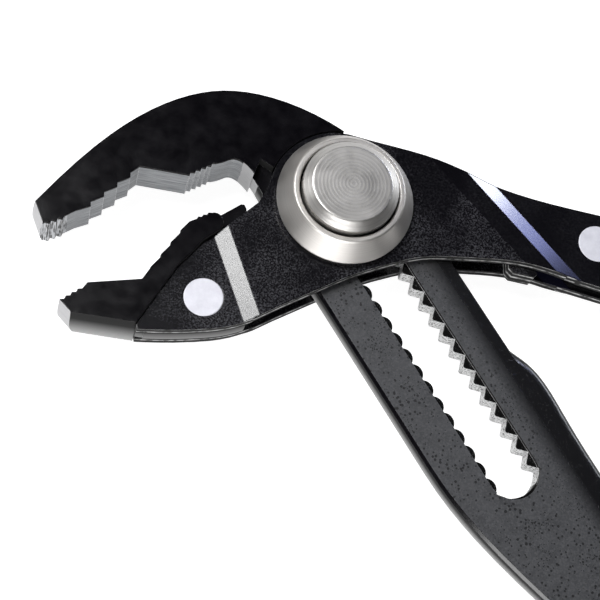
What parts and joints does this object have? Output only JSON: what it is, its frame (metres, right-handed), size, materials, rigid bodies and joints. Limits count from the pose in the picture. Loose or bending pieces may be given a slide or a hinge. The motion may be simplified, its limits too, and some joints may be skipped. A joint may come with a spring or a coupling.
{
  "type": "tongue and groove pliers",
  "caption": "Tongue and groove pliers with a push-button pivot on a toothed adjusting slot, stepped serrated jaws, box-joint side plates and soft two-part grips.",
  "frame": {"origin": "centre of the flat rear pivot cap, on the pivot axis", "axes": "+X from the jaws towards the handle ends, +Y towards the back of the upper jaw, +Z along the pivot axis, out of the push button"},
  "size_m": [0.3064, 0.2196, 0.0252],
  "materials": {
    "black_plate": "satin black stamped plate with fine orange peel",
    "black_forging": "black coated forging with ground jaw faces",
    "bright_steel": "ground bright steel",
    "nickel": "satin nickel with turning marks",
    "spring_steel": "drawn spring wire",
    "grip_hard": "moulded, lightly grained",
    "grip_soft": "soft, matte",
    "grip_inlay": "soft, matte amber"
  },
  "bodies": {
    "plate_handle": {"front_side_plate": "black_plate", "back_side_plate": "black_plate", "lower_jaw": "black_forging", "jaw_rivet": "bright_steel", "handle_rivet": "bright_steel", "plate_spacer": "black_plate", "handle_core": "black_plate", "pivot_collar": "nickel", "rear_cap": "nickel", "upper_grip_base": "grip_hard", "upper_grip_sleeve": "grip_soft", "upper_grip_inlay_front": "grip_inlay", "upper_grip_inlay_back": "grip_inlay"},
    "pivot": {"pivot_barrel": "bright_steel", "button_spring": "spring_steel"},
    "button": {"push_button": "nickel", "lock_key": "bright_steel"},
    "slotted_arm": {"upper_jaw_arm": "black_forging", "lower_grip_base": "grip_hard", "lower_grip_sleeve": "grip_soft", "lower_grip_inlay_front": "grip_inlay", "lower_grip_inlay_back": "grip_inlay"}
  },
  "joints": [
    {"name": "jaw_swing", "type": "hinge", "parent": "plate_handle", "child": "pivot", "pos_m": [0, 0, 0.0095], "axis": [0, 0, 1], "range_deg": [-18, 12]},
    {"name": "slot_adjust", "type": "slide", "parent": "pivot", "child": "slotted_arm", "axis": [-0.5299, 0.848, 0], "range_m": [0, 0.0645]},
    {"name": "button_press", "type": "slide", "parent": "pivot", "child": "button", "axis": [0, 0, -1], "range_m": [0, 0.0031], "stiffness_N_per_m": 1500, "springref_m": -0.001, "deforming": ["button_spring"]}
  ]
}
